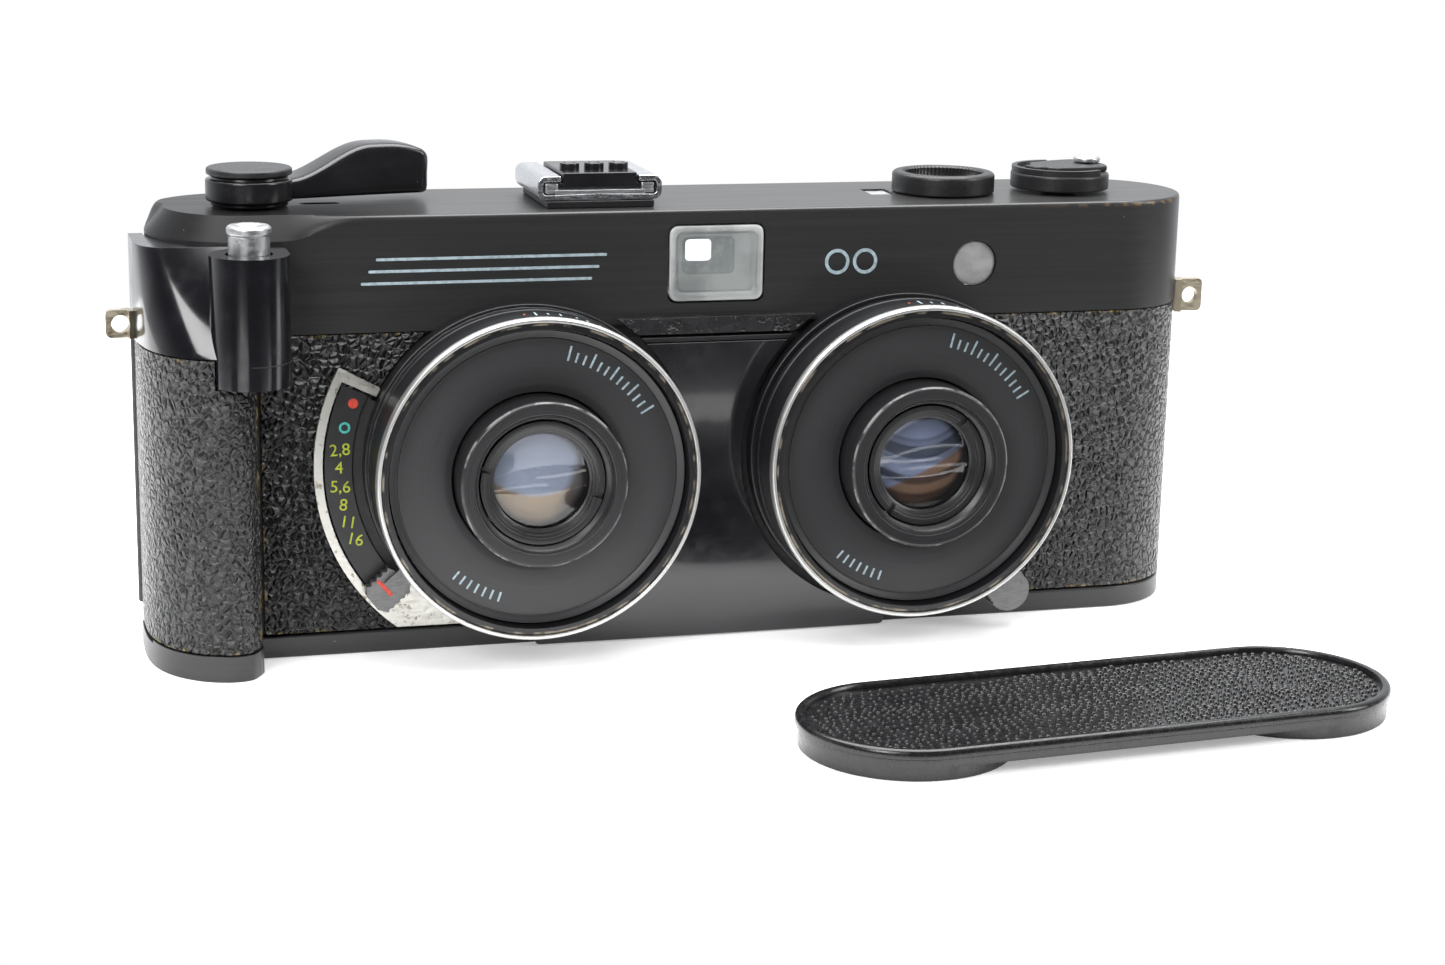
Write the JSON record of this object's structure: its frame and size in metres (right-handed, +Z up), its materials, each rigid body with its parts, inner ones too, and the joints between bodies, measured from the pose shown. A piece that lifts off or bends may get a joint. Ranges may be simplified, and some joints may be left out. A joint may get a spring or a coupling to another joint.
{
  "type": "stereo camera",
  "caption": "Twin-lens 35 mm stereo camera with coupled focusing rings, side grip, film advance lever, rewind crank and accessory shoe, with its double lens cap lying in front.",
  "frame": {"origin": "on the flat face of the tripod bushing at the underside, midway between the two lens axes and at mid depth of the body", "axes": "+X to the right seen from the front, -Y the way the lenses look, +Z up out of the accessory shoe"},
  "size_m": [0.1893, 0.1083, 0.0805],
  "materials": {
    "cover_paint": "satin black paint, fine horizontal brushing",
    "casting_paint": "matt black painted casting",
    "leatherette": "black pebbled leatherette",
    "gloss_black": "glossy black plastic",
    "satin_black": "satin black anodised",
    "black_plastic": "satin black plastic",
    "chrome": "polished",
    "silver": "bright turned",
    "nickel": "worn nickel plate",
    "glass": "coated",
    "grey": "satin grey",
    "cap_plastic": "moulded, pebbled face"
  },
  "bodies": {
    "camera": {"body_casting": "casting_paint", "top_cover": "cover_paint", "bottom_plate": "cover_paint", "tripod_bushing": "silver", "lens_panel": "gloss_black", "panel_top_strip": "black_plastic", "scale_frame": "silver", "exposure_scale": "satin_black", "leather_front_right": "leatherette", "leather_front_left": "leatherette", "grip_core": "black_plastic", "grip_leather": "leatherette", "release_housing": "gloss_black", "viewfinder_window": "glass", "viewfinder_eyepiece": "glass", "photocell_window": "grey", "dial_window": "silver", "shoe_riser": "black_plastic", "accessory_shoe": "chrome", "shoe_spring": "silver", "strap_lug_right": "nickel", "strap_lug_left": "nickel", "lens_base_left": "satin_black", "lens_tube_left": "satin_black", "front_element_left": "glass", "retaining_ring_left": "satin_black", "lens_base_right": "satin_black", "lens_tube_right": "satin_black", "front_element_right": "glass", "retaining_ring_right": "satin_black"},
    "focus_right": {"focus_ring_right": "satin_black", "rim_ring_right": "silver", "face_ring_right": "satin_black", "focus_tab": "grey"},
    "focus_left": {"focus_ring_left": "satin_black", "rim_ring_left": "silver", "face_ring_left": "satin_black"},
    "exposure_lever": {"aperture_ring": "silver", "aperture_tab": "grey"},
    "blade_left_a": {"shutter_blade_left_a": "satin_black"},
    "blade_left_b": {"shutter_blade_left_b": "satin_black"},
    "blade_right_a": {"shutter_blade_right_a": "satin_black"},
    "blade_right_b": {"shutter_blade_right_b": "satin_black"},
    "advance": {"advance_lever": "black_plastic", "lever_cap": "satin_black"},
    "takeup": {"takeup_spool": "black_plastic"},
    "sprocket": {"film_sprocket": "silver"},
    "release": {"release_button": "silver"},
    "dial": {"speed_dial": "satin_black"},
    "rewind_turn": {"rewind_collar": "silver"},
    "rewind_pull": {"rewind_shaft": "silver", "rewind_knob": "satin_black"},
    "crank": {"rewind_crank": "satin_black"},
    "crank_handle": {"crank_grip": "silver"},
    "door": {"back_door": "casting_paint", "door_leather": "leatherette"},
    "film_pressure": {"pressure_plate": "satin_black"},
    "shoe_insert": {"shoe_cover": "black_plastic"},
    "cap": {"lens_cap": "cap_plastic"},
    "battery": {"battery_cover": "black_plastic"}
  },
  "joints": [
    {"name": "focus_turn", "type": "hinge", "parent": "camera", "child": "focus_right", "pos_m": [0.0317, 0, 0.0309], "axis": [0, -1, 0], "range_deg": [0, 60]},
    {"name": "focus_turn_left", "type": "hinge", "parent": "camera", "child": "focus_left", "pos_m": [-0.0317, 0, 0.0309], "axis": [0, -1, 0], "range_deg": [0, 60]},
    {"name": "exposure_set", "type": "hinge", "parent": "camera", "child": "exposure_lever", "pos_m": [-0.0317, 0, 0.0309], "axis": [0, 1, 0], "range_deg": [0, 62]},
    {"name": "blade_left_a_turn", "type": "hinge", "parent": "camera", "child": "blade_left_a", "pos_m": [-0.0221, 0, 0.0335], "axis": [0, 1, 0], "range_deg": [0, 35]},
    {"name": "blade_left_b_turn", "type": "hinge", "parent": "camera", "child": "blade_left_b", "pos_m": [-0.0413, 0, 0.0283], "axis": [0, 1, 0], "range_deg": [0, 35]},
    {"name": "blade_right_a_turn", "type": "hinge", "parent": "camera", "child": "blade_right_a", "pos_m": [0.0413, 0, 0.0335], "axis": [0, 1, 0], "range_deg": [0, 35]},
    {"name": "blade_right_b_turn", "type": "hinge", "parent": "camera", "child": "blade_right_b", "pos_m": [0.0221, 0, 0.0283], "axis": [0, 1, 0], "range_deg": [0, 35]},
    {"name": "advance_stroke", "type": "hinge", "parent": "camera", "child": "advance", "pos_m": [-0.073, -0.001, 0], "axis": [0, 0, 1], "range_deg": [0, 130]},
    {"name": "sprocket_turn", "type": "hinge", "parent": "camera", "child": "sprocket", "pos_m": [-0.0532, 0.0062, 0], "axis": [0, 0, 1], "range_deg": [0, 320]},
    {"name": "takeup_turn", "type": "hinge", "parent": "camera", "child": "takeup", "pos_m": [-0.0705, -0.0006, 0], "axis": [0, 0, 1], "range_deg": [0, 290]},
    {"name": "release_press", "type": "slide", "parent": "camera", "child": "release", "axis": [0, 0, -1], "range_m": [0, 0.0025], "stiffness_N_per_m": 400, "springref_m": -0.001},
    {"name": "speed_set", "type": "hinge", "parent": "camera", "child": "dial", "pos_m": [0.044, 0, 0], "axis": [0, 0, 1], "range_deg": [-140, 140]},
    {"name": "rewind_spin", "type": "hinge", "parent": "camera", "child": "rewind_turn", "pos_m": [0.065, -0.0006, 0], "axis": [0, 0, 1], "continuous": true},
    {"name": "rewind_lift", "type": "slide", "parent": "rewind_turn", "child": "rewind_pull", "axis": [0, 0, 1], "range_m": [0, 0.006]},
    {"name": "crank_fold", "type": "hinge", "parent": "rewind_pull", "child": "crank", "pos_m": [0.05969, -0.00202, 0.0748], "axis": [0.2588, -0.9659, 0], "range_deg": [0, 150]},
    {"name": "crank_handle_spin", "type": "hinge", "parent": "crank", "child": "crank_handle", "pos_m": [0.07051, 0.00088, 0], "axis": [0, 0, 1], "continuous": true},
    {"name": "door_open", "type": "hinge", "parent": "camera", "child": "door", "pos_m": [-0.0904, 0.0022, 0], "axis": [0, 0, 1], "range_deg": [0, 110]},
    {"name": "film_pressure_travel", "type": "slide", "parent": "door", "child": "film_pressure", "axis": [0, 1, 0], "range_m": [0, 0.0006], "stiffness_N_per_m": 300, "springref_m": -0.0005},
    {"name": "shoe_insert_slide", "type": "slide", "parent": "camera", "child": "shoe_insert", "axis": [0, 1, 0], "range_m": [0, 0.022]},
    {"name": "battery_cover_turn", "type": "hinge", "parent": "camera", "child": "battery", "pos_m": [0.024, 0, 0], "axis": [0, 0, 1], "range_deg": [0, 60]},
    {"name": "cap_lift", "type": "slide", "parent": "camera", "child": "cap", "axis": [0, 0, 1], "range_m": [0, 0.06]}
  ],
  "couplings": [
    {"joint": "focus_turn_left", "follows": "focus_turn", "ratio": 1},
    {"joint": "blade_left_b_turn", "follows": "blade_left_a_turn", "ratio": 1},
    {"joint": "blade_right_a_turn", "follows": "blade_left_a_turn", "ratio": 1},
    {"joint": "blade_right_b_turn", "follows": "blade_left_a_turn", "ratio": 1},
    {"joint": "sprocket_turn", "follows": "advance_stroke", "ratio": 2.4},
    {"joint": "takeup_turn", "follows": "advance_stroke", "ratio": 2.1}
  ]
}
